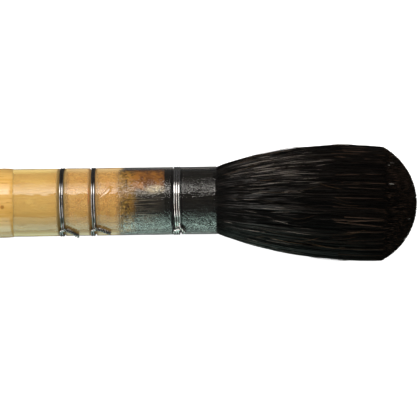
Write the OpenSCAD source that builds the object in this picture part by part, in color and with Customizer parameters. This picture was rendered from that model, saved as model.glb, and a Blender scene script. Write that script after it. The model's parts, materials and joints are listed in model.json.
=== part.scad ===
// A quill mop brush: a turned wooden handle, a clear quill bound with three wires,
// and a full, domed head of hair tied and glued inside the quill.
// +X points from the handle to the tip of the hair, and +Z is up. The origin is on the
// brush's axis, at the front edge of the handle's cylindrical seat.

/* [Handle] */
// Length of the handle that shows behind the quill
handle_len = 140; // [110:5:180]
// Diameter of the cylindrical seat at the front of the handle
seat_d = 12.6; // [12.5:0.1:13.2]
// Length of the cylindrical seat
seat_len = 20; // [12:1:30]
// Diameter of the handle just ahead of its rounded tail
tail_d = 7.2; // [5:0.2:9]
// Length of the peg that fills the back of the quill
peg_len = 19.8; // [18.6:0.1:20.6]

/* [Quill] */
// Outer diameter of the quill
quill_d = 12.3; // [11.7:0.1:12.4]
// Length of the quill
quill_len = 37; // [36:0.5:42]
// Thickness of the quill's wall
quill_wall = 0.35; // [0.3:0.05:0.6]

/* [Binding wires] */
// Diameter of the wire
wire_d = 0.4; // [0.3:0.05:0.4]
// Depth of the grooves that the wires pinch into the quill
pinch_depth = 0.3; // [0.1:0.05:0.35]
// Middle of the rear wire, measured from the quill's rear edge
rear_wire_at = 9; // [7:0.1:10]
// Middle of the middle wire, measured from the quill's rear edge
middle_wire_at = 14.6; // [14:0.1:16]
// Middle of the front wire, measured from the quill's rear edge
front_wire_at = 29.8; // [29.4:0.1:32]

/* [Hair] */
// Length of the hair outside the quill
hair_len = 36.1; // [34:0.1:40]
// Diameter of the ball that the domed tip is part of
dome_d = 23.4; // [22.6:0.1:25]
// Diameter that the hair flares to
belly_d = 21.1; // [19:0.1:22]
// Share of the head's diameter that the core takes
core_share = 0.62; // [0.4:0.02:0.7]

/* [Hidden] */

round_fn = 96;
seat_r = seat_d / 2;
tail_r = tail_d / 2;
quill_r = quill_d / 2;
bore_r = quill_r - quill_wall;
wire_r = wire_d / 2;

// Places along the axis
shoulder_len = 1.6;
quill_rear = shoulder_len;
mouth = quill_rear + quill_len;
tail_end = quill_rear - handle_len;
tail_cap_len = 4;
taper_steps = 24;

// The peg, the glue round it and the resin in front of it
glue_film = 0.1;
peg_r = bore_r - glue_film;
peg_end = quill_rear + peg_len;
peg_chamfer = 0.4;
butt = peg_end + 2.2;
butt_r = 4.6;
root_cone_len = 5.5;
root_full = butt + root_cone_len;

// The thread round the butt of the hair
thread_d = 0.35;
thread_turns = 4;
thread_in_r = 4.5;
thread_start = butt + 2;
thread_len = thread_d * (thread_turns + 1);

// The mouth of the quill, which opens slightly where the hair leaves it
flare_len = 1.2;
flare_r = quill_r - 0.15;
rim_edge = 0.1;

// The binding wires: [middle, turns, lean of the winding]
wire_pitch = wire_d + 0.01;
rear_band = [quill_rear + rear_wire_at, 2, 0.35];
middle_band = [quill_rear + middle_wire_at, 2, 0.2];
front_band = [quill_rear + front_wire_at, 3, 0.18];
bands = [rear_band, middle_band, front_band];
coil_r = quill_r - pinch_depth + wire_r;
tail_pair_r = quill_r + wire_d + 0.02;
lead_angle = 20;
lead_rise = 0.6;
twist_pitch = 1.3;
groove_slope = 0.45;
groove_steps = 4;

// The head of hair
lip = 0.15;
mouth_hair_r = quill_r + 0.08;
belly_r = belly_d / 2;
belly_at = 24.2;
dome_r = dome_d / 2;
dome_centre = mouth + hair_len - dome_r;
head_steps = 16;

// A solid turned about the X axis, from an outline of [radius, x] points
module turned(outline)
    rotate([0, 90, 0])
        rotate_extrude($fn = round_fn)
            polygon(outline);

function reversed(list) = [for (i = [len(list) - 1:-1:0]) list[i]];

// Smooth step from 0 to 1
function ease(t) = let (u = min(max(t, 0), 1)) u * u * (3 - 2 * u);

// Depth of the grooves at a place on the quill
function half_groove(band) = band[1] * wire_pitch / 2 + band[2];
function groove(band, x) = 1 - ease((abs(x - band[0]) - half_groove(band)) / groove_slope);
function pinch(x) = pinch_depth * max([for (band = bands) groove(band, x)]);

// Places where a wall that follows the grooves changes its slope
function groove_side(band, side) =
    [for (i = [0:groove_steps]) band[0] + side * (half_groove(band) + groove_slope * i / groove_steps)];
function groove_places() =
    [for (band = bands) each concat(reversed(groove_side(band, -1)), groove_side(band, 1))];

// A wall of radius r from x0 to x1 that follows the grooves
function wall(r, x0, x1) = concat(
    [[r, x0]],
    [for (x = groove_places()) if (x > x0 && x < x1) [r - pinch(x), x]],
    [[r, x1]]);

// Radius of the hair outside the quill, before the dome cuts it
function head_r(x) =
    let (rest = 1 - (x - mouth) / belly_at)
    mouth_hair_r + (belly_r - mouth_hair_r) * (1 - rest * rest);
function head_places() =
    [for (i = [0:head_steps]) mouth + lip + (hair_len - lip) * i / head_steps];

// Radius of the glued cone at the butt of the hair
function root_r(x) = butt_r + (bore_r - butt_r) * (x - butt) / root_cone_len;

// Everything behind the domed tip
module behind_dome() {
    translate([dome_centre, 0, 0])
        sphere(r = dome_r, $fn = round_fn);
    translate([butt, 0, 0])
        rotate([0, 90, 0])
            cylinder(r = dome_r, h = dome_centre - butt, $fn = round_fn);
}

// A path point is [angle from +Z towards -Y, x, radius]
function outward(angle) = [0, -sin(angle), cos(angle)];
function placed(p) = [p[1], 0, 0] + p[2] * outward(p[0]);
function unit(v) = v / norm(v);

// A round wire swept along a path of such points, with flat ends
module swept(path, r, sides = 8) {
    last = len(path) - 1;
    centres = [for (p = path) placed(p)];
    points = [for (i = [0:last])
        let (along = unit(centres[min(i + 1, last)] - centres[max(i - 1, 0)]),
             side = unit(cross(along, outward(path[i][0]))),
             up = cross(side, along))
        for (k = [0:sides - 1])
            centres[i] + r * (cos(360 * k / sides) * up + sin(360 * k / sides) * side)];
    walls = [for (i = [0:last - 1], k = [0:sides - 1])
        let (a = i * sides + k, b = i * sides + (k + 1) % sides)
        each [[a, a + sides, b + sides], [a, b + sides, b]]];
    ends = [[for (k = [0:sides - 1]) k], [for (k = [sides - 1:-1:0]) last * sides + k]];
    polyhedron(points, concat(ends, walls));
}

// The winding of a wire, from just past its twisted tail round to just before it
function winding(band, root) =
    let (sweep = 360 * band[1] - 2 * lead_angle, steps = ceil(sweep / 10))
    [for (i = [0:steps])
        let (turned_by = lead_angle + sweep * i / steps, angle = root + turned_by)
        [angle, band[0] + wire_pitch * (turned_by / 360 - band[1] / 2) - band[2] * cos(angle), coil_r]];

// The stretch where a wire leaves its winding and rises over it into the tail
function lead(from, to, steps = 8) =
    [for (i = [1:steps - 1])
        let (s = i / steps, fall = 1 - s)
        [to[0] + (from[0] - to[0]) * fall * fall,
         from[1] + (to[1] - from[1]) * s * s * s,
         from[2] + (to[2] - from[2]) * ease(s / lead_rise)]];

// One strand of a twisted tail. A tail is [root angle, root x, change of angle, change of x]
function strand(tail, phase, steps = 20) =
    [for (i = [0:steps])
        let (t = i / steps,
             run = [tail[3], tail_pair_r * tail[2] * 2 * t * PI / 180],
             dir = run / norm(run),
             length = norm([tail[3], tail_pair_r * tail[2] * PI / 180]),
             turn = phase + 360 * length * t / twist_pitch)
        [tail[0] + tail[2] * t * t + dir[0] * wire_r * sin(turn) / tail_pair_r * 180 / PI,
         tail[1] + tail[3] * t - dir[1] * wire_r * sin(turn),
         tail_pair_r + wire_r * cos(turn)]];

// A binding wire: both ends meet over the winding and are twisted into one flattened tail
module binding_wire(band, root, tail_angle, tail_run) {
    root_x = band[0] + wire_pitch * band[1] / 2 + 0.3 - band[2] * cos(root);
    coil = winding(band, root);
    first = strand([root, root_x, tail_angle, tail_run], 90);
    second = strand([root + 360 * band[1], root_x, tail_angle, tail_run], 270);
    swept(concat(
        reversed(first),
        reversed(lead(coil[0], first[0])),
        coil,
        lead(coil[len(coil) - 1], second[0]),
        second), wire_r);
}

// Turned handle: a rounded tail, a long taper, the seat, the shoulder and the peg
module handle() {
    tail_cap = [for (a = [0:15:75]) [tail_r * sin(a), tail_end + tail_cap_len * (1 - cos(a))]];
    taper_start = tail_end + tail_cap_len;
    taper = [for (i = [0:taper_steps])
        let (t = i / taper_steps)
        [tail_r + (seat_r - tail_r) * (1 - cos(180 * t)) / 2,
         taper_start + (-seat_len - taper_start) * t]];
    shoulder = [for (a = [0:15:90]) [quill_r + (seat_r - quill_r) * cos(a), shoulder_len * sin(a)]];
    peg = concat(
        wall(peg_r, quill_rear, peg_end - peg_chamfer),
        [[peg_r - peg_chamfer, peg_end], [0, peg_end]]);
    color("#d99a4e")
        turned(concat(tail_cap, taper, shoulder, peg));
}

// Clear quill: a thin tube with three pinched grooves and a slightly open mouth
module quill() {
    outside = concat(
        wall(quill_r, quill_rear, mouth - rim_edge),
        [[quill_r - rim_edge / 2, mouth]]);
    inside = concat(
        wall(bore_r, quill_rear, mouth - flare_len),
        [[flare_r, mouth]]);
    color("#e6d6a8", 0.45)
        turned(concat(outside, reversed(inside)));
}

module rear_wire() {
    color("silver")
        binding_wire(rear_band, 50, 20, 2.2);
}

module middle_wire() {
    color("silver")
        binding_wire(middle_band, 49, 13, 2.3);
}

module front_wire() {
    color("silver")
        binding_wire(front_band, 52, 14, 0.9);
}

// Film of glue between the peg and the quill
module peg_glue() {
    film_end = peg_end - peg_chamfer;
    color("#c9a24f")
        turned(concat(
            wall(bore_r, quill_rear, film_end),
            reversed(wall(peg_r, quill_rear, film_end))));
}

// Resin that fills the quill between the peg and the hair, and cups the hair's glued cone
module resin_plug() {
    cup_wall = wall(bore_r, peg_end - peg_chamfer, root_full);
    color("#7a5a30")
        turned(concat(
            [[0, peg_end], [peg_r - peg_chamfer, peg_end], [peg_r, peg_end - peg_chamfer]],
            cup_wall,
            [[butt_r, butt], [0, butt]]));
}

// Thread wound round the butt of the hair
module root_thread() {
    steps = 24 * thread_turns;
    color("#5b4a3c")
        swept([for (i = [0:steps])
            [360 * thread_turns * i / steps,
             thread_start + thread_d / 2 + thread_d * thread_turns * i / steps,
             thread_in_r + thread_d / 2]], thread_d / 2);
}

// Core of the hair, from its butt to the middle of the dome
module hair_core() {
    root = core_share * bore_r;
    color("#241c18")
        intersection() {
            turned(concat(
                [[0, butt], [root, butt], [root, mouth]],
                [for (x = head_places()) [core_share * head_r(x), x]],
                [[0, mouth + hair_len]]));
            behind_dome();
        }
}

// Outer coat of hair, glued as a cone at its butt and laid round the core
module hair_cover() {
    root = core_share * bore_r;
    thread_end = thread_start + thread_len;
    cone = [[root, butt], [butt_r, butt],
            [root_r(thread_start), thread_start], [thread_in_r, thread_start],
            [thread_in_r, thread_end], [root_r(thread_end), thread_end]];
    in_quill = wall(bore_r, root_full, mouth - flare_len);
    head = [for (x = head_places()) [head_r(x), x]];
    inside = concat(
        [[root, mouth]],
        [for (x = head_places()) [core_share * head_r(x), x]]);
    color("#100c0b")
        intersection() {
            turned(concat(cone, in_quill, [[flare_r, mouth]], head, reversed(inside)));
            behind_dome();
        }
}

handle();
quill();
rear_wire();
middle_wire();
front_wire();
peg_glue();
resin_plug();
root_thread();
hair_core();
hair_cover();
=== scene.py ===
"""A quill mop brush: a turned handle, a clear quill bound with wire, and a domed head of black hair."""

import json
import math
import random

import bmesh
import bpy
from mathutils import Matrix, Vector, noise


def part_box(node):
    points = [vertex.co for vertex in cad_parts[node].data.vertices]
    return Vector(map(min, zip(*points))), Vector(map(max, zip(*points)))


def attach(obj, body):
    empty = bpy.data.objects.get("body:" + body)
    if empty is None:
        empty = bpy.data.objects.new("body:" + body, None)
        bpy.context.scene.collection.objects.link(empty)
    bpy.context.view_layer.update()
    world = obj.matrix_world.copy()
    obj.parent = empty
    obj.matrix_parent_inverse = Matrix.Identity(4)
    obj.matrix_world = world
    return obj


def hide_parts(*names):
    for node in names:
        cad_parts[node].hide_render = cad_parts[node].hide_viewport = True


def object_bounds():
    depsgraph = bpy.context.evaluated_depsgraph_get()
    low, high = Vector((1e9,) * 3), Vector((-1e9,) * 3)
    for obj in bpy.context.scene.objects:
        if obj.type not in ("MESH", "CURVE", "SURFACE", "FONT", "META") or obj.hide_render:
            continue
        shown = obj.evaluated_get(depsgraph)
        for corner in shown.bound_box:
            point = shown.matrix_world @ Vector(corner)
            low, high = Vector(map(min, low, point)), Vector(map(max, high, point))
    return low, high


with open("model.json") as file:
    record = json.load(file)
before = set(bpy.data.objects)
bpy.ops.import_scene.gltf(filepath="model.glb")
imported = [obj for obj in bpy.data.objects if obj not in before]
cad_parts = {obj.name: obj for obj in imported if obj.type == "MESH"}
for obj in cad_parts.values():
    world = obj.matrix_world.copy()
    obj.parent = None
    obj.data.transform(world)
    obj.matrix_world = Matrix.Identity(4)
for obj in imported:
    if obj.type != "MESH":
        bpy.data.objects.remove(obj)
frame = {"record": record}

cad_low, cad_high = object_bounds()
MM = 0.001
rng = random.Random(7)

# ---------------------------------------------------------------- sizes, from the frame

seat = frame["record"]["mounts"][0]["dims"]
seat_r = seat["r_mm"] * MM
seat_back = -seat["length_mm"] * MM

tail_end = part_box("handle")[0].x
peg_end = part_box("handle")[1].x
tail_r = 3.6 * MM
tail_cap = 4 * MM

quill_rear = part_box("quill")[0].x
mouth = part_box("quill")[1].x
quill_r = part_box("quill")[1].z
bore_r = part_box("peg_glue")[1].z
film = 0.1 * MM
peg_r = bore_r - film

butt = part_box("hair_cover")[0].x
root_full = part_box("resin_plug")[1].x
butt_r = 4.6 * MM

# Binding wires: where the winding's middle is, its turns and how far it leans, then its tail: the angle in
# degrees where it starts, how far round it goes in degrees, and how far forward
wire_r = 0.2 * MM
wire_pitch = 0.41 * MM
twist_pitch = 1.15 * MM
pinch_depth = 0.3 * MM
groove_slope = 0.12 * MM
REAR = {"at": quill_rear + 9.0 * MM, "turns": 2, "lean": 0.35 * MM, "root": 50, "bend": 20, "run": 2.3 * MM}
MIDDLE = {"at": quill_rear + 14.6 * MM, "turns": 2, "lean": 0.2 * MM, "root": 49, "bend": 13, "run": 2.4 * MM}
FRONT = {"at": quill_rear + 29.8 * MM, "turns": 3, "lean": 0.18 * MM, "root": 52, "bend": 9, "run": 0.45 * MM}

# The head of hair
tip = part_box("hair_core")[1].x
belly_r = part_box("hair_cover")[1].z
head_start_r = quill_r + 0.08 * MM
belly_at = 25.4 * MM
dome_r = 11.7 * MM
dome_centre = tip - dome_r
sag = 1.15 * MM
dome_y = -0.9 * MM

# Marks on the upper side: where the middle of each is, along the brush and across it. CREASE_RUN is the
# direction in which the crease lies.
KNOT = (-0.3 * MM, -0.75 * MM)
STAIN = (MIDDLE["at"] - 1.05 * MM, 1.0 * MM)
CREASE = (MIDDLE["at"] + 2.3 * MM, 1.45 * MM)
CREASE_RUN = (0.64, 0.77)
# The chalky mark is partly clouded glue and partly a painted highlight, pale where the key light's reflection
# crosses the resin.
CHALK_AND_HIGHLIGHT = (root_full - 1.5 * MM, 2.2 * MM)


# ---------------------------------------------------------------- shapes in numbers

def ease(t):
    """Smooth step from 0 to 1."""
    t = min(max(t, 0.0), 1.0)
    return t * t * (3 - 2 * t)


def mixed(a, b, t):
    return a + (b - a) * t


def pinch(x, angle):
    """How far a wire's groove goes into the quill at a place along it and round it."""
    deepest = 0.0
    for wire in (REAR, MIDDLE, FRONT):
        middle = wire["at"] - wire["lean"] * math.cos(angle)
        half = wire_pitch * wire["turns"] / 2
        deepest = max(deepest, 1 - ease((abs(x - middle) - half) / groove_slope))
    return pinch_depth * deepest


def waviness(x, angle):
    """The slight unevenness of a natural quill."""
    spot = Vector((x / (5 * MM), 1.3 * math.cos(angle), 1.3 * math.sin(angle)))
    return 0.035 * MM * noise.noise(spot)


def head_r(x):
    """The radius of the hair outside the quill, before the dome cuts it."""
    rest = 1 - (x - mouth) / belly_at
    return head_start_r + (belly_r - head_start_r) * (1 - rest * rest)


def head_sag(x):
    """How far the head's own middle line hangs to one side."""
    return -sag * min(max((x - mouth) / (32 * MM), 0.0), 1.0) ** 1.3


# ---------------------------------------------------------------- pieces

def finish_mesh(name, bm, crease=35):
    """Turns a bmesh into a smooth-shaded piece with sharp edges kept."""
    for edge in bm.edges:
        edge.smooth = len(edge.link_faces) == 2 and edge.calc_face_angle() < math.radians(crease)
    for face in bm.faces:
        face.smooth = True
    mesh = bpy.data.meshes.new(name)
    bm.to_mesh(mesh)
    bm.free()
    piece = bpy.data.objects.new(name, mesh)
    bpy.context.scene.collection.objects.link(piece)
    return piece


def kept(piece, material, slot, *nodes):
    """Gives a piece its material and its body, and hides the CAD nodes that it stands for. The slot argument
    is not used.
    """
    piece.data.materials.clear()
    piece.data.materials.append(material)
    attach(piece, "root")
    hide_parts(*nodes)
    return piece


def turned(name, outline, steps=128, closed=False, shape=None):
    """A piece turned about the X axis from (x, radius) points. shape may then change its radius."""
    bm = bmesh.new()
    points = [bm.verts.new((x, 0, r)) for x, r in outline]
    ends = points[1:] + points[:1] if closed else points[1:]
    edges = [bm.edges.new(pair) for pair in zip(points, ends)]
    bmesh.ops.spin(bm, geom=points + edges, cent=(0, 0, 0), axis=(1, 0, 0), angle=2 * math.pi,
                   steps=steps, use_merge=True)
    bmesh.ops.remove_doubles(bm, verts=bm.verts, dist=1e-7)
    bmesh.ops.recalc_face_normals(bm, faces=bm.faces)
    if shape:
        for vert in bm.verts:
            r = math.hypot(vert.co.y, vert.co.z)
            if r > 1e-6:
                grown = shape(vert.co.x, math.atan2(-vert.co.y, vert.co.z), r) / r
                vert.co.y *= grown
                vert.co.z *= grown
    return finish_mesh(name, bm)


def stations(start, end, step):
    """Places from start to end, about a step apart."""
    count = max(1, round((end - start) / step))
    return [mixed(start, end, i / count) for i in range(count + 1)]


def tubes(name, paths, widths, thickness, roundness):
    """Tubes along paths as one piece, with closed ends. Each radius is the width there times thickness."""
    curve = bpy.data.curves.new(name, "CURVE")
    curve.dimensions = "3D"
    curve.bevel_depth = thickness
    curve.bevel_resolution = roundness
    curve.use_fill_caps = True
    for path, width in zip(paths, widths):
        spline = curve.splines.new("POLY")
        spline.points.add(len(path) - 1)
        spline.points.foreach_set("co", [c for point in path for c in (*point, 1.0)])
        spline.points.foreach_set("radius", width)
    holder = bpy.data.objects.new(name + "_curve", curve)
    bpy.context.scene.collection.objects.link(holder)
    bpy.context.view_layer.update()
    mesh = bpy.data.meshes.new_from_object(holder.evaluated_get(bpy.context.evaluated_depsgraph_get()))
    bpy.data.objects.remove(holder)
    bpy.data.curves.remove(curve)
    mesh.name = name
    piece = bpy.data.objects.new(name, mesh)
    bpy.context.scene.collection.objects.link(piece)
    return piece


def strands(name, paths, radii, tones):
    """Many fine hairs as one piece. Each path has the same number of points; tones is one value a hair."""
    piece = tubes(name, paths, radii, 1.0, 0)
    each = len(piece.data.vertices) // len(paths)
    tone = piece.data.attributes.new("tone", "FLOAT", "POINT")
    tone.data.foreach_set("value", [value for value in tones for _ in range(each)])
    return piece


# ---------------------------------------------------------------- materials

class Value:
    """One output of a shader node. Arithmetic on it adds Math nodes to the same material."""

    def __init__(self, finish, socket):
        self.finish = finish
        self.socket = socket

    def math(self, operation, *values):
        return self.finish.node("ShaderNodeMath", {"operation": operation}, dict(enumerate(values)))

    def __add__(self, other):
        return self.math("ADD", self, other)

    __radd__ = __add__

    def __sub__(self, other):
        return self.math("SUBTRACT", self, other)

    def __rsub__(self, other):
        return self.math("SUBTRACT", other, self)

    def __mul__(self, other):
        return self.math("MULTIPLY", self, other)

    __rmul__ = __mul__

    def __truediv__(self, other):
        return self.math("DIVIDE", self, other)

    def __rtruediv__(self, other):
        return self.math("DIVIDE", other, self)


class Finish:
    """A material being put together from nodes."""

    def __init__(self, name):
        self.material = bpy.data.materials.new(name)
        self.material.use_nodes = True
        self.tree = self.material.node_tree
        self.tree.nodes.clear()
        self.place = self.node("ShaderNodeTexCoord", output="Object")
        self.in_mm = self.node("ShaderNodeVectorMath", {"operation": "SCALE"},
                               {0: self.place, "Scale": 1 / MM})

    def node(self, kind, settings=None, inputs=None, output=0):
        """Adds a node, makes its settings, then fills or links its inputs. Gives back one output."""
        node = self.tree.nodes.new(kind)
        for name, value in (settings or {}).items():
            if name == "stops":
                self.set_stops(node.color_ramp, value)
            else:
                setattr(node, name, value)
        for name, value in (inputs or {}).items():
            if isinstance(value, Value):
                self.tree.links.new(value.socket, node.inputs[name])
            else:
                node.inputs[name].default_value = value
        return Value(self, node.outputs[output]) if node.outputs else None

    @staticmethod
    def set_stops(ramp, stops):
        while len(ramp.elements) < len(stops):
            ramp.elements.new(1.0)
        for element, (position, colour) in zip(ramp.elements, stops):
            element.position = position
            element.color = (*colour, 1)

    def axes(self):
        """Place in millimetres along the brush, and across it."""
        parts = self.node("ShaderNodeSeparateXYZ", {}, {0: self.in_mm})
        outputs = parts.socket.node.outputs
        return [Value(self, outputs[i]) for i in range(3)]

    def from_mark(self, mark):
        """How far along and across a place is from the middle of a mark, in millimetres."""
        x, y, _ = self.axes()
        return x - mark[0] / MM, y - mark[1] / MM

    def along(self, scale, stretch=1.0):
        """A place for a pattern: features are scale per mm across, and stretch times longer along."""
        return self.node("ShaderNodeMapping", {}, {
            "Vector": self.in_mm, "Scale": (scale / stretch, scale, scale)})

    def noise(self, place, detail=3.0, roughness=0.55, distortion=0.0):
        return self.node("ShaderNodeTexNoise", {}, {
            "Vector": place, "Scale": 1.0, "Detail": detail, "Roughness": roughness,
            "Distortion": distortion})

    def step(self, value, low, high):
        """0 below low, 1 above high, and smooth between."""
        return self.node("ShaderNodeMapRange", {"interpolation_type": "SMOOTHSTEP"}, {
            "Value": value, "From Min": low, "From Max": high})

    def blend(self, share, a, b):
        """Colour a where share is 0 and b where it is 1."""
        colours = {i: c if isinstance(c, Value) else (*c, 1) for i, c in ((6, a), (7, b))}
        return self.node("ShaderNodeMix", {"data_type": "RGBA"}, {0: share, **colours}, output=2)

    def bump(self, height, strength, distance):
        return self.node("ShaderNodeBump", {}, {
            "Height": height, "Strength": strength, "Distance": distance})

    def principled(self, **inputs):
        """The shader. An input's name is written with _ for each space."""
        named = {}
        for name, value in inputs.items():
            if isinstance(value, tuple) and len(value) == 3:
                value = (*value, 1)
            named[name.replace("_", " ")] = value
        return self.node("ShaderNodeBsdfPrincipled", {}, named)

    def made(self, shader):
        self.node("ShaderNodeOutputMaterial", {}, {"Surface": shader})
        return self.material


def wood_finish():
    """Pale hardwood with fine flecks, lacquered behind the quill and bare where it is glued."""
    f = Finish("lacquered_wood")
    x, _, z = f.axes()
    grain = f.noise(f.along(1.6, 14), 4, 0.6, 0.3)
    streaks = f.noise(f.along(5, 30), 3, 0.6)
    flecks = f.step(f.noise(f.along(3.2, 4.5), 2, 0.5), 0.64, 0.72)
    patches = f.noise(f.along(0.22, 2), 2, 0.5)
    pale, warm, dark = (0.72, 0.43, 0.125), (0.62, 0.335, 0.065), (0.34, 0.14, 0.025)
    colour = f.blend(f.step(grain, 0.35, 0.65), pale, warm)
    colour = f.blend(f.step(streaks, 0.45, 0.8) * 0.35, colour, dark)
    colour = f.blend(f.step(patches, 0.4, 0.75) * 0.35, colour, (0.56, 0.36, 0.10))
    colour = f.blend(flecks * 0.55, colour, dark)
    along, across = f.from_mark(KNOT)
    knot = (1 - f.step(along * along + across * across, 0.03, 0.2)) * f.step(z, 0, 1)
    colour = f.blend(knot * 0.8, colour, (0.30, 0.10, 0.01))
    exposed = 1 - f.step(x, quill_rear / MM - 0.1, quill_rear / MM)
    worn = f.noise(f.along(0.5, 3), 4, 0.6)
    return f.made(f.principled(
        Base_Color=colour, Specular_IOR_Level=0.2,
        Roughness=0.36 + 0.16 * worn,
        Coat_Weight=exposed * (1 - 0.15 * worn),
        Coat_Roughness=0.1, Coat_IOR=1.7,
        Normal=f.bump(streaks + flecks * -0.6, 0.25, 0.05 * MM)))


def quill_finish():
    """Amber quill: milky round the peg and clear over the hair, deeper at a slant, under a bright gloss."""
    f = Finish("clear_quill")
    x, y, z = f.axes()
    squares = y * y + z * z
    from_axis = squares.math("SQRT", squares)
    outer_face = f.step(from_axis, bore_r / MM + 0.005, bore_r / MM + 0.025)
    upper = f.step(z, 0, 1)
    back = f.node("ShaderNodeNewGeometry", output="Backfacing")
    clouds = f.noise(f.along(0.35, 2.5), 4, 0.6)
    streaks = f.noise(f.along(3.0, 16), 3, 0.6)
    specks = f.noise(f.along(2.8, 1.3), 3, 0.6)
    # Beside each wire the quill's body turns dark olive and milky: partly a glue stain, partly painted shade
    # in the groove the wire pinches.
    groove = 0
    for wire in (REAR, MIDDLE, FRONT):
        offset = x - wire["at"] / MM + z * (wire["lean"] / quill_r)
        edge = 0.5 * wire["turns"] * wire_pitch / MM
        away = offset.math("ABSOLUTE", offset) + 0.5 * (specks - 0.5)
        groove = (1 - f.step(away, edge + 0.25, edge + 0.6)) + groove
    clear = f.node("ShaderNodeBsdfTransparent", {}, {
        "Color": f.blend(clouds, (1.0, 0.985, 0.95), (0.985, 0.955, 0.88))})
    amber = f.blend(f.step(clouds, 0.35, 0.65), (0.90, 0.665, 0.23), (0.84, 0.59, 0.195))
    amber = f.blend(f.step(streaks, 0.5, 0.8) * 0.35, amber, (0.84, 0.64, 0.31))
    amber = f.blend(f.step(x, REAR["at"] / MM - 4, REAR["at"] / MM + 2), amber, (0.74, 0.49, 0.195))
    at_middle = f.step(x, MIDDLE["at"] / MM - 3, MIDDLE["at"] / MM - 2)
    olive = f.blend(at_middle, (0.17, 0.11, 0.04), (0.23, 0.12, 0.04))
    along, across = f.from_mark(STAIN)
    red = (1 - f.step(36 * along * along + across * across, 1.5, 6)) * f.step(specks, 0.4, 0.55) * upper
    olive = f.blend(red, olive, (0.30, 0.06, 0.015))
    amber = f.blend(groove * 0.85, amber, olive)
    smoke_and_rim_light = f.blend(streaks, (0.014, 0.0135, 0.0135), (0.006, 0.006, 0.0065))
    slant = f.node("ShaderNodeLayerWeight", {}, {"Blend": 0.5}, output=1)
    # Painted rim light: at a slant the dark body over the hair turns light grey, standing in for a reflection
    # along the quill's edge.
    smoke_and_rim_light = f.blend(f.step(slant, 0.55, 0.75), smoke_and_rim_light, (0.06, 0.058, 0.056))
    ragged = x + 3 * (clouds - 0.5) + 3 * (specks - 0.5)
    over_hair = f.step(ragged, peg_end / MM - 0.9, peg_end / MM + 0.5)
    body = f.principled(
        Base_Color=f.blend(over_hair, amber, smoke_and_rim_light), Roughness=0.5, Specular_IOR_Level=0.0)
    milk = 0.5 * groove + 0.04 * over_hair + (0.24 + 0.2 * f.step(clouds, 0.4, 0.7)) * (1 - over_hair)
    haze = (milk + (0.95 - milk) * f.step(slant, 0.42, 0.7)) * outer_face * (1 - back)
    inside = f.node("ShaderNodeMixShader", {}, {0: haze, 1: clear, 2: body})
    swells = f.noise(f.along(0.5, 2.4), 3, 0.5)
    fine = f.noise(f.along(5.5, 1.2), 2, 0.6)
    along, across = f.from_mark(CREASE)
    beside = along * CREASE_RUN[1] - across * CREASE_RUN[0]
    lengthwise = along * CREASE_RUN[0] + across * CREASE_RUN[1]
    crease = (1 - f.step(beside * beside, 0, 0.2)) * (1 - f.step(lengthwise * lengthwise, 0.5, 3)) * upper
    height = 2.2 * swells + 0.1 * streaks + 1.6 * crease + (0.1 + 1.4 * over_hair) * specks
    relief = f.bump(height, 0.6, 0.1 * MM)
    gloss = f.node("ShaderNodeBsdfGlossy", {}, {
        "Color": (1, 1, 1, 1), "Roughness": 0.08, "Normal": relief})
    fresnel = f.node("ShaderNodeFresnel", {}, {"IOR": 1.5, "Normal": relief})
    low_side = (1 - f.step(y, -1.5, 0)) * f.step(y, -5.8, -4.6)
    speckle = 0.55 + 1.0 * f.step(specks, 0.38, 0.62) + 1.4 * f.step(fine, 0.44, 0.6)
    sheen = (1.2 + 1.5 * crease) * (1 - over_hair) + over_hair * speckle * (1 + 0.6 * low_side)
    shine = fresnel * (1 - back) * sheen * (1 - 0.6 * groove)
    return f.made(f.node("ShaderNodeMixShader", {}, {0: shine, 1: inside, 2: gloss}))


def glue_finish():
    """Thin amber glue: clear in places, stained brown at the peg's end, and brown near the wires, partly a
    stain and partly painted shade in the wire grooves.
    """
    f = Finish("amber_glue")
    x, _, _ = f.axes()
    clouds = f.noise(f.along(0.28, 1.5), 3, 0.55, 0.6)
    spots = f.noise(f.along(1.4, 1.5), 4, 0.65)
    # Near the rear and middle wires the glue is painted brown: partly a stain, partly painted shade in the
    # groove each wire pinches.
    wire_stain_and_shade = 0
    for wire in (REAR, MIDDLE):
        offset = x - wire["at"] / MM
        wire_stain_and_shade = (1 - f.step(offset.math("ABSOLUTE", offset), 0.8, 1.35)) + wire_stain_and_shade
    end = f.step(x + 2.2 * (spots - 0.5), peg_end / MM - 1.6, peg_end / MM - 0.2)
    brown = wire_stain_and_shade * (0.35 + 0.65 * f.step(spots, 0.35, 0.6)) + end
    colour = f.blend(brown, (0.60, 0.27, 0.05), (0.15, 0.07, 0.02))
    blotches = f.step(spots, 0.48, 0.62) * f.step(x, REAR["at"] / MM - 2, REAR["at"] / MM)
    alpha = 0.08 + 0.30 * f.step(clouds, 0.5, 0.8) + 0.35 * blotches + 0.75 * brown
    return f.made(f.principled(
        Base_Color=colour, Roughness=0.35, Specular_IOR_Level=0.1,
        Alpha=alpha.math("MINIMUM", alpha, 0.95)))


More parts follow.
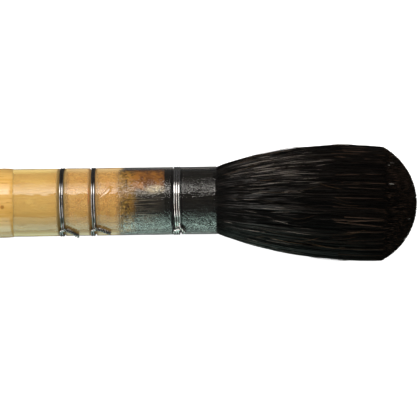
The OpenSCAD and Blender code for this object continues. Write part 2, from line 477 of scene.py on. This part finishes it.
def resin_finish():
    """Set resin: olive brown in front of the peg, thinning out over the dark hair in amber patches."""
    f = Finish("set_resin")
    x, y, z = f.axes()
    blotches = f.noise(f.along(0.55, 1.2), 4, 0.7, 0.8)
    grains = f.noise(f.along(2.6, 1.3), 4, 0.7)
    hairs = f.noise(f.along(4.5, 22), 3, 0.6)
    olive = f.blend(f.step(blotches, 0.35, 0.65), (0.10, 0.06, 0.012), (0.33, 0.17, 0.035))
    olive = f.blend(f.step(grains, 0.53, 0.62), olive, (0.46, 0.29, 0.07))
    olive = f.blend(f.step(1 - grains, 0.53, 0.62), olive, (0.035, 0.02, 0.01))
    soaked = f.blend(f.step(hairs, 0.45, 0.7), (0.010, 0.010, 0.0105), (0.25, 0.22, 0.185))
    soaked = f.blend(f.step(x, butt / MM + 1.2, root_full / MM + 0.7), soaked, (0.010, 0.0095, 0.0095))
    amber = f.blend(f.step(blotches, 0.4, 0.6), (0.12, 0.045, 0.012), (0.32, 0.14, 0.03))
    upper = f.step(y + 2.4 * (blotches - 0.5) + 2.4 * (grains - 0.5), 1.6, 2.9)
    patch = upper * (1 - f.step(x + 5 * (grains - 0.5), root_full / MM - 0.6, root_full / MM + 1.2))
    colour = f.blend(patch, soaked, amber)
    # Painted highlight with clouded glue: a pale patch on the upper side where the key light's reflection
    # falls.
    along, across = f.from_mark(CHALK_AND_HIGHLIGHT)
    bare = across * across + 0.12 * along * along + 2.5 * (grains - 0.5)
    chalk_and_painted_highlight = (1 - f.step(bare, 0.2, 0.9)) * f.step(z, 0, 1)
    colour = f.blend(chalk_and_painted_highlight * f.step(grains, 0.45, 0.53), colour, (0.50, 0.45, 0.33))
    ragged = x + 5 * (grains - 0.5) + 3 * (blotches - 0.5)
    band = 1 - f.step(ragged, butt / MM - 0.5, butt / MM + 0.6)
    colour = f.blend(band, colour, olive)
    return f.made(f.principled(
        Base_Color=colour, Roughness=0.4 + 0.2 * grains, Specular_IOR_Level=0.2,
        Normal=f.bump(grains + hairs, 0.5, 0.08 * MM)))


def soaked_hair_finish():
    """Hair set in glue inside the quill: near black, with grey-brown lengthwise streaks."""
    f = Finish("glued_hair")
    streaks = f.noise(f.along(3.6, 26), 4, 0.65)
    fine = f.noise(f.along(9, 40), 2, 0.6)
    bubbles = f.step(f.noise(f.along(3.4, 1.2), 2, 0.6), 0.66, 0.74)
    colour = f.blend(f.step(streaks, 0.38, 0.72), (0.003, 0.0028, 0.0028), (0.012, 0.011, 0.0105))
    colour = f.blend(f.step(fine, 0.5, 0.8) * 0.4, colour, (0.03, 0.027, 0.025))
    colour = f.blend(bubbles * 0.25, colour, (0.12, 0.12, 0.11))
    return f.made(f.principled(
        Base_Color=colour, Roughness=0.45 + 0.2 * streaks, Specular_IOR_Level=0.08,
        Normal=f.bump(streaks + 0.5 * fine, 0.6, 0.1 * MM)))


def hair_finish(name, deep, brown, shine):
    """Hair from deep to brown. Tone differs from hair to hair, and near the quill more of them shine."""
    f = Finish(name)
    x, y, _ = f.axes()
    root = f.step(x, mouth / MM - 1, mouth / MM + 5) * (1 - f.step(x, mouth / MM + 6, mouth / MM + 19))
    tone = f.node("ShaderNodeAttribute", {"attribute_name": "tone"}, output="Fac")
    drift = f.noise(f.along(1.2, 5), 3, 0.6)
    colour = f.blend(f.step(tone + 0.6 * (drift - 0.5) + 0.12 * root, 0.6, 1.05), deep, brown)
    # A very few hairs are pale grey over the last few millimetres before the dome's tip.
    pale_end = f.step(tone, 0.9984, 0.9988) * f.step(x, tip / MM - 5.2, tip / MM - 4.8)
    colour = f.blend(pale_end, colour, (0.5, 0.48, 0.44))
    glint = f.step(tone + 1.2 * (drift - 0.5) + 0.15 * root, 0.76, 0.97) * (0.12 + 0.88 * root)
    upper_side = f.step(y, -7, -2)
    glint = glint * (0.45 + 0.55 * upper_side)
    return f.made(f.principled(
        Base_Color=colour, Roughness=0.34 + 0.1 * drift, Specular_IOR_Level=0.07,
        Coat_Weight=shine * glint, Coat_Roughness=0.16, Coat_IOR=1.75,
        Normal=f.bump(f.noise(f.along(14, 3), 2, 0.5), 0.15, 0.02 * MM)))


def packed_hair_finish():
    """The hair packed inside the head, which shows only as shadow between the outer hairs."""
    f = Finish("packed_hair")
    streaks = f.noise(f.along(4.5, 30), 4, 0.65)
    colour = f.blend(f.step(streaks, 0.4, 0.75), (0.002, 0.0017, 0.0015), (0.006, 0.0045, 0.0035))
    return f.made(f.principled(
        Base_Color=colour, Roughness=0.6 + 0.2 * streaks, Specular_IOR_Level=0.05,
        Normal=f.bump(streaks, 0.6, 0.1 * MM)))


def thread_finish():
    """Waxed thread soaked brown with resin."""
    f = Finish("soaked_thread")
    twist = f.noise(f.along(6, 0.4), 3, 0.6)
    colour = f.blend(f.step(twist, 0.35, 0.7), (0.10, 0.06, 0.03), (0.28, 0.2, 0.12))
    return f.made(f.principled(
        Base_Color=colour, Roughness=0.5 + 0.2 * twist,
        Normal=f.bump(twist, 0.5, 0.03 * MM)))


def wire_finish():
    """Drawn steel wire, dull with tarnish in patches. The front binding's steel is paler than the two behind
    it: partly less tarnish, partly painted shine for the brighter reflections along it.
    """
    f = Finish("drawn_steel")
    x, _, _ = f.axes()
    # Painted shine: the front binding gets paler steel so that it shows brighter reflections than the two
    # behind it.
    bright = f.step(x, MIDDLE["at"] / MM + 4, FRONT["at"] / MM - 4)
    tarnish = f.noise(f.along(0.9, 1), 4, 0.65)
    scratches = f.noise(f.along(12, 0.3), 2, 0.6)
    clean = f.blend(bright, (0.40, 0.39, 0.385), (0.72, 0.71, 0.70))
    dull = f.blend(bright, (0.17, 0.145, 0.12), (0.42, 0.39, 0.36))
    colour = f.blend(f.step(tarnish, 0.42, 0.72), clean, dull)
    return f.made(f.principled(
        Base_Color=colour, Metallic=1.0,
        Roughness=0.07 + 0.12 * f.step(tarnish, 0.4, 0.8) + 0.06 * scratches,
        Normal=f.bump(scratches, 0.15, 0.01 * MM)))


# ---------------------------------------------------------------- handle

def make_handle():
    def exposed(x):
        start, end = tail_end + tail_cap, seat_back
        t = min(max((x - start) / (end - start), 0), 1)
        return tail_r + (seat_r - tail_r) * (1 - math.cos(math.pi * t)) / 2

    cap = [(tail_end + tail_cap * (1 - math.cos(a)), tail_r * math.sin(a))
           for a in (math.radians(5 * i) for i in range(18))]
    body = [(x, exposed(x)) for x in stations(tail_end + tail_cap, 0, 2 * MM)]
    shoulder = [(quill_rear * math.sin(a), quill_r + (seat_r - quill_r) * math.cos(a))
                for a in (math.radians(10 * i) for i in range(1, 10))]
    chamfer = 0.4 * MM
    peg = [(x, peg_r) for x in stations(quill_rear, peg_end - chamfer, 0.15 * MM)]
    end = [(peg_end, peg_r - chamfer), (peg_end, 0)]

    def shape(x, angle, r):
        return r - pinch(x, angle) if quill_rear < x < peg_end and r > 4 * MM else r

    piece = turned("turned_handle", cap + body + shoulder + peg + end, shape=shape)
    return kept(piece, wood_finish(), "handle_wood", "handle")


# ---------------------------------------------------------------- quill and what is glued in it

def make_quill():
    flare_len, flare_r, edge = 1.2 * MM, quill_r - 0.15 * MM, 0.1 * MM
    places = stations(quill_rear, mouth - flare_len, 0.12 * MM)
    outside = [(x, quill_r) for x in places]
    outside += [(x, quill_r) for x in stations(mouth - flare_len, mouth - edge, 0.2 * MM)[1:]]
    rim = [(mouth - edge + edge * math.sin(a), quill_r - edge * (1 - math.cos(a)))
           for a in (math.radians(30), math.radians(60), math.radians(90))]
    inside = [(mouth, flare_r)] + [(x, bore_r) for x in reversed(places)]

    def shape(x, angle, r):
        return r - pinch(x, angle) + (waviness(x, angle) if r > quill_r - 2 * edge else 0)

    piece = turned("quill_tube", outside + rim + inside, steps=160, closed=True, shape=shape)
    return kept(piece, quill_finish(), "clear_quill", "quill")


def make_glue():
    places = stations(quill_rear, peg_end - 0.4 * MM, 0.15 * MM)
    gap = 0.01 * MM
    outline = [(x, bore_r - gap) for x in places] + [(x, peg_r + gap) for x in reversed(places)]
    piece = turned("glue_film", outline, closed=True, shape=lambda x, a, r: r - pinch(x, a))
    return kept(piece, glue_finish(), "glue", "peg_glue")


def make_resin():
    gap = 0.01 * MM
    outline = [(peg_end + gap, 0), (peg_end + gap, bore_r - 0.4 * MM), (peg_end - 0.35 * MM, bore_r - gap)]
    outline += [(x, bore_r - gap) for x in stations(peg_end, root_full, 0.3 * MM)]
    outline += [(butt, butt_r), (butt, 0)]
    piece = turned("resin_fill", outline)
    return kept(piece, resin_finish(), "resin", "resin_plug")


def make_glued_root():
    """The part of the hair that is set in glue, from its butt to just inside the mouth of the quill."""
    end = mouth + 0.1 * MM
    gap = 0.03 * MM
    outline = [(butt, 0), (butt, butt_r - gap), (root_full, bore_r - gap)]
    outline += [(x, bore_r - gap) for x in stations(root_full, end, 0.15 * MM)[1:]]
    outline += [(end, 0)]

    def shape(x, angle, r):
        ridge = noise.noise(Vector((x / (12 * MM), 9 * math.cos(angle), 9 * math.sin(angle))))
        return r - pinch(x, angle) - 0.04 * MM * (1 + ridge) if r > 2 * MM else r

    piece = turned("glued_root", outline, steps=192, shape=shape)
    return kept(piece, soaked_hair_finish(), "hair", "hair_cover")


# ---------------------------------------------------------------- wires and thread

def on_quill(angle, x, r):
    """A point at an angle from +Z towards -Y, at x along the brush and r from its axis."""
    return Vector((x, -r * math.sin(angle), r * math.cos(angle)))


def winding(wire, root):
    """The turns of a binding wire, just short of its twisted tail at both ends."""
    lead_in = math.radians(12)
    sweep = 2 * math.pi * wire["turns"] - 2 * lead_in
    points = []
    for i in range(72 * wire["turns"] + 1):
        gone = lead_in + sweep * i / (72 * wire["turns"])
        x = wire["at"] + wire_pitch * (gone / (2 * math.pi) - wire["turns"] / 2)
        loose = 0.03 * MM * noise.noise(Vector((gone * 1.3, wire["at"] / MM, 0)))
        points.append((root + gone, x + loose - wire["lean"] * math.cos(root + gone),
                       quill_r - pinch_depth + wire_r))
    return points


def lead(start, end, steps=14):
    """Where a wire leaves its winding and rises over it into the tail."""
    points = []
    for i in range(1, steps):
        s = i / steps
        points.append((end[0] + (start[0] - end[0]) * (1 - s) ** 2,
                       start[1] + (end[1] - start[1]) * s ** 3,
                       start[2] + (end[2] - start[2]) * ease(s / 0.6)))
    return points


def strand(root_angle, root_x, bend, run, phase, steps=44):
    """One of the two wires twisted together in a tail that lies along the quill."""
    pair_r = quill_r + 2 * wire_r + 0.02 * MM
    length = math.hypot(run, pair_r * bend)
    points = []
    for i in range(steps + 1):
        t = i / steps
        along = Vector((run, pair_r * bend * 1.5 * math.sqrt(t))).normalized()
        turn = phase + 2 * math.pi * length * t / twist_pitch
        side = wire_r * math.sin(turn)
        points.append((root_angle + bend * t ** 1.5 + along.x * side / pair_r,
                       root_x + run * t - along.y * side,
                       pair_r + wire_r * math.cos(turn)))
    return points


def round_wire(name, points, r):
    """A round wire along a path, with closed ends."""
    return tubes(name, [points], [[1.0] * len(points)], r, 2)


def make_wire(name, node, wire, material):
    root, bend, run = math.radians(wire["root"]), math.radians(wire["bend"]), wire["run"]
    root_x = wire["at"] + wire_pitch * wire["turns"] / 2 + 0.3 * MM - wire["lean"] * math.cos(root)
    coil = winding(wire, root)
    first = strand(root, root_x, bend, run, math.pi / 2)
    second = strand(root + 2 * math.pi * wire["turns"], root_x, bend, run, -math.pi / 2)
    path = first[::-1] + lead(coil[0], first[0])[::-1] + coil + lead(coil[-1], second[0]) + second
    piece = round_wire(name, [on_quill(*point) for point in path], wire_r)
    return kept(piece, material, "steel_wire", node)


def make_thread():
    thread_r, inner_r, turns, steps = 0.175 * MM, 4.5 * MM, 4, 48
    start = butt + 2 * MM + thread_r
    points = [on_quill(2 * math.pi * i / steps, start + 2 * thread_r * i / steps, inner_r + thread_r)
              for i in range(turns * steps + 1)]
    piece = round_wire("root_binding", points, thread_r)
    return kept(piece, thread_finish(), "thread", "root_thread")


# ---------------------------------------------------------------- hair

def dome_x(angle, share):
    """Where a hair at this angle and share of the head's radius reaches the dome."""
    x = tip
    for _ in range(12):
        r = share * head_r(x)
        across = math.hypot(head_sag(x) - r * math.sin(angle) - dome_y, r * math.cos(angle))
        x = dome_centre + math.sqrt(max(dome_r ** 2 - across ** 2, MM ** 2))
    return x


def make_packed_hair():
    """The solid inside of the head, just under the outer hairs."""
    share, under = 0.955, 0.4 * MM
    inner_dome = dome_r - under
    start = mouth - 0.8 * MM
    outline = [(start, 0), (start, bore_r * 0.93), (mouth, bore_r * 0.97)]
    places = stations(mouth + 0.4 * MM, dome_x(0, 1.0) - under, 0.8 * MM)
    outline += [(x, share * head_r(x)) for x in places]
    first = math.asin(outline[-1][1] / inner_dome)
    outline += [(dome_centre + inner_dome * math.cos(first * k), inner_dome * math.sin(first * k))
                for k in (1 - i / 14 for i in range(1, 15))]

    def shape(x, angle, r):
        ridge = noise.noise(Vector((x / (14 * MM), 7 * math.cos(angle), 7 * math.sin(angle))))
        fine = noise.noise(Vector((x / (9 * MM), 22 * math.cos(angle), 22 * math.sin(angle))))
        return r * (1 + (0.016 * ridge + 0.012 * fine) * ease((x - mouth) / (2 * MM)))

    piece = turned("packed_hair", outline, steps=288, shape=shape)
    for vert in piece.data.vertices:
        vert.co.y += head_sag(vert.co.x)
    return kept(piece, packed_hair_finish(), "hair", "hair_core")


# Hairs gather in clumps: where each clump is, how it drifts sideways, and how proud it stands
CLUMPS = [(rng.uniform(-math.pi, math.pi), rng.gauss(0, 0.03), rng.gauss(0, 0.006)) for _ in range(120)]


def hair_point(angle, share, x):
    r = share * (mixed(bore_r, head_r(max(x, mouth)), ease((x - mouth + 0.2 * MM) / (0.8 * MM))))
    return (x, -r * math.sin(angle) + head_sag(x), r * math.cos(angle))


def coat_hair(share_low, share_high):
    """One hair of the outer coat, from inside the mouth of the quill to the edge of the dome."""
    angle = rng.uniform(-math.pi, math.pi)
    share = rng.uniform(share_low, share_high)
    middle, clump_drift, proud = min(CLUMPS, key=lambda clump: abs(clump[0] - angle))
    pull = rng.uniform(0.25, 0.85) * (middle - angle)
    start = mouth - rng.uniform(0.2, 0.9) * MM
    end = dome_x(angle, share) + (0.1 - abs(rng.gauss(0, 0.15))) * MM
    drift = clump_drift + rng.gauss(0, 0.016)
    wave, phase = rng.uniform(0.002, 0.012), rng.uniform(0, 2 * math.pi)
    lift = rng.gauss(0, 0.005)
    points = []
    for i in range(10):
        s = (i / 9) ** 1.25
        x = mixed(start, end, s)
        turn = angle + pull * ease(s * 2.5) * (1 - 0.6 * s) + drift * s + wave * math.sin(phase + 11 * s)
        rise = proud * math.sin(math.pi * s) + lift * math.sin(phase + 5 * s) * s
        points.append(hair_point(turn, share + rise, x))
    thick = rng.uniform(0.045, 0.08) * MM
    widths = [thick * w for w in (0.8, 0.9, 1, 1, 1, 1, 1, 0.95, 0.85, 0.5)]
    return points, widths, rng.random()


def tip_hair():
    """The end of one hair that shows only on the dome."""
    angle = rng.uniform(-math.pi, math.pi)
    share = math.sqrt(rng.random())
    end = dome_x(angle, share) + (0.3 - abs(rng.gauss(0, 0.12))) * MM
    start = end - rng.uniform(6.0, 10.0) * MM
    lean = rng.gauss(0, 0.03) / max(share, 0.25)
    spread = rng.gauss(0, 0.006)
    points = [hair_point(angle + lean * s, min(share, 0.995) + spread * (s - 1), mixed(start, end, s))
              for s in (0, 0.5, 0.85, 1)]
    thick = rng.uniform(0.055, 0.09) * MM
    return points, [thick, thick, thick * 0.85, thick * 0.45], rng.random()


def stray_hair():
    """A paler hair that crosses the others at a slant."""
    angle = rng.uniform(-math.pi, math.pi)
    start = mouth + rng.uniform(0.5, 22) * MM
    end = min(start + rng.uniform(3, 9) * MM, dome_x(angle, 1.0) - rng.uniform(0.3, 2) * MM)
    across = rng.choice((-1, 1)) * rng.uniform(0.03, 0.16)
    points = []
    for i in range(8):
        s = i / 7
        lift = 1.004 + 0.006 * math.sin(math.pi * s)
        points.append(hair_point(angle + across * s + 0.02 * math.sin(4 * s), lift, mixed(start, end, s)))
    thick = rng.uniform(0.025, 0.045) * MM
    widths = [thick * w for w in (0.2, 0.7, 1, 1, 1, 0.9, 0.6, 0.15)]
    return points, widths, rng.random()


def painted_glint_hair():
    """A short length of a hair that stands proud of the coat, painted pale as a glint; many lie near the
    quill, half of them on the side towards the key light.
    """
    angle = rng.choice((rng.uniform(-math.pi, math.pi), rng.gauss(-0.75, 0.4)))
    start = mouth + rng.triangular(0.8, 19, 7) * MM
    end = min(start + rng.uniform(1.5, 6.5) * MM, dome_x(angle, 1.0) - 1 * MM)
    across = rng.gauss(0, 0.02)
    points = [hair_point(angle + across * s, 0.988 + 0.006 * math.sin(math.pi * s), mixed(start, end, s))
              for s in (0, 0.2, 0.4, 0.6, 0.8, 1)]
    thick = rng.uniform(0.018, 0.034) * MM
    return points, [thick * w for w in (0.2, 0.8, 1, 1, 0.8, 0.2)], rng.random()


def make_hair(name, count, one_hair, material, node):
    made = [one_hair() for _ in range(count)]
    piece = strands(name, [m[0] for m in made], [m[1] for m in made], [m[2] for m in made])
    return kept(piece, material, "hair", node)


# ---------------------------------------------------------------- the object

make_handle()
make_quill()
make_glue()
make_resin()
make_glued_root()
make_thread()
steel = wire_finish()
make_wire("rear_binding", "rear_wire", REAR, steel)
make_wire("middle_binding", "middle_wire", MIDDLE, steel)
make_wire("front_binding", "front_wire", FRONT, steel)
make_packed_hair()
coat = hair_finish("coat_hair", (0.001, 0.0009, 0.0008), (0.009, 0.006, 0.0044), 0.95)
make_hair("inner_coat", 2200, lambda: coat_hair(0.935, 0.965), coat, "hair_cover")
make_hair("outer_coat", 2200, lambda: coat_hair(0.96, 0.986), coat, "hair_cover")
tips = hair_finish("tip_hair", (0.004, 0.0032, 0.0026), (0.045, 0.028, 0.019), 1.0)
make_hair("dome_tips", 6600, tip_hair, tips, "hair_core")
stray = hair_finish("stray_hair", (0.008, 0.005, 0.0035), (0.07, 0.042, 0.022), 0.9)
make_hair("stray_hairs", 150, stray_hair, stray, "hair_cover")
# Pale hairs placed as painted glints, mostly near the quill.
lit = hair_finish("painted_glint_hair", (0.04, 0.035, 0.03), (0.29, 0.25, 0.215), 1.0)
make_hair("lit_hairs", 330, painted_glint_hair, lit, "hair_cover")

# ---------------------------------------------------------------- floor, light and camera

def make_floor():
    """A wide pale floor that glows, as a lit table does, so that it stays even."""
    bm = bmesh.new()
    bmesh.ops.create_grid(bm, x_segments=1, y_segments=1, size=15)
    bmesh.ops.translate(bm, verts=bm.verts, vec=(0, 0, cad_low.z - 0.6 * MM))
    floor = finish_mesh("floor", bm)
    f = Finish("pale_floor")
    floor.data.materials.append(f.made(f.principled(
        Base_Color=(0.5, 0.5, 0.5), Roughness=0.9, Specular_IOR_Level=0.1,
        Emission_Color=(1, 1, 1), Emission_Strength=0.98)))
    floor.visible_diffuse = floor.visible_glossy = floor.visible_shadow = False


def softbox(name, low, high, distance, left, right, colour, radiance):
    """An area light from left to right along X. It spans the angles low to high, from +Z towards +Y."""
    lean, half = math.radians((low + high) / 2), math.radians((high - low) / 2)
    width, height = right - left, 2 * distance * math.tan(half)
    light = bpy.data.lights.new(name, "AREA")
    light.shape = "RECTANGLE"
    light.size, light.size_y = width, height
    light.color = colour
    light.energy = radiance * math.pi * width * height
    box = bpy.data.objects.new(name, light)
    bpy.context.scene.collection.objects.link(box)
    box.matrix_world = Matrix.Rotation(-lean, 4, "X") @ Matrix.Translation(((left + right) / 2, 0, distance))
    box.visible_camera = False
    return box


def make_lights():
    """Windows on both sides, fills that don't show in the gloss, and one past the handle for the wires."""
    warm, cool = (1.0, 0.97, 0.93), (0.71, 1.0, 0.88)
    softbox("key_wide", 28.5, 66, 0.36, -0.37, 0.045, warm, 1.4)
    softbox("key_middle", 28.5, 55, 0.35, -0.37, 0.045, warm, 1.2)
    softbox("key_core", 28.5, 45, 0.34, -0.37, 0.028, warm, 2.2)
    softbox("low_window", -110, -50, 0.40, -0.12, 0.045, cool, 1.35)
    softbox("low_middle", -110, -80, 0.39, -0.12, 0.045, cool, 1.2)
    softbox("low_sill", -150, -110, 0.40, -0.12, 0.045, cool, 0.9)
    overhead = softbox("overhead", 5, 65, 0.7, -0.35, 0.35, (1.0, 0.99, 0.97), 3.0)
    low_fill = softbox("low_fill", -110, -50, 0.6, -0.3, 0.3, (1.0, 0.99, 0.97), 0.9)
    overhead.visible_glossy = low_fill.visible_glossy = False
    flank = softbox("flank", 60, 80, 0.5, -0.45, 0.45, warm, 6)
    flank.matrix_world = Matrix.Rotation(math.pi / 2, 4, "Z") @ flank.matrix_world
    flank.visible_diffuse = False
    world = bpy.data.worlds.new("studio")
    world.use_nodes = True
    background = world.node_tree.nodes["Background"]
    background.inputs["Color"].default_value = (1, 1, 1, 1)
    background.inputs["Strength"].default_value = 0.08
    bpy.context.scene.world = world


def make_camera():
    """Looks straight down on the mouth of the quill, with the hair to the right."""
    span, distance, tilt = 76.4 * MM, 1.2, math.radians(0.8)
    centre = Vector((mouth - 1.3 * MM, -1.776 * MM, 0))
    data = bpy.data.cameras.new("camera")
    data.sensor_width = 36
    data.lens = data.sensor_width * distance / span
    data.clip_start, data.clip_end = 0.05, 50
    camera = bpy.data.objects.new("camera", data)
    bpy.context.scene.collection.objects.link(camera)
    place = Matrix.Translation(centre + Vector((0, 0, distance)))
    camera.matrix_world = place @ Matrix.Rotation(-tilt, 4, "Z")
    bpy.context.scene.camera = camera


make_floor()
make_lights()
make_camera()
bpy.context.scene.view_settings.view_transform = "Standard"
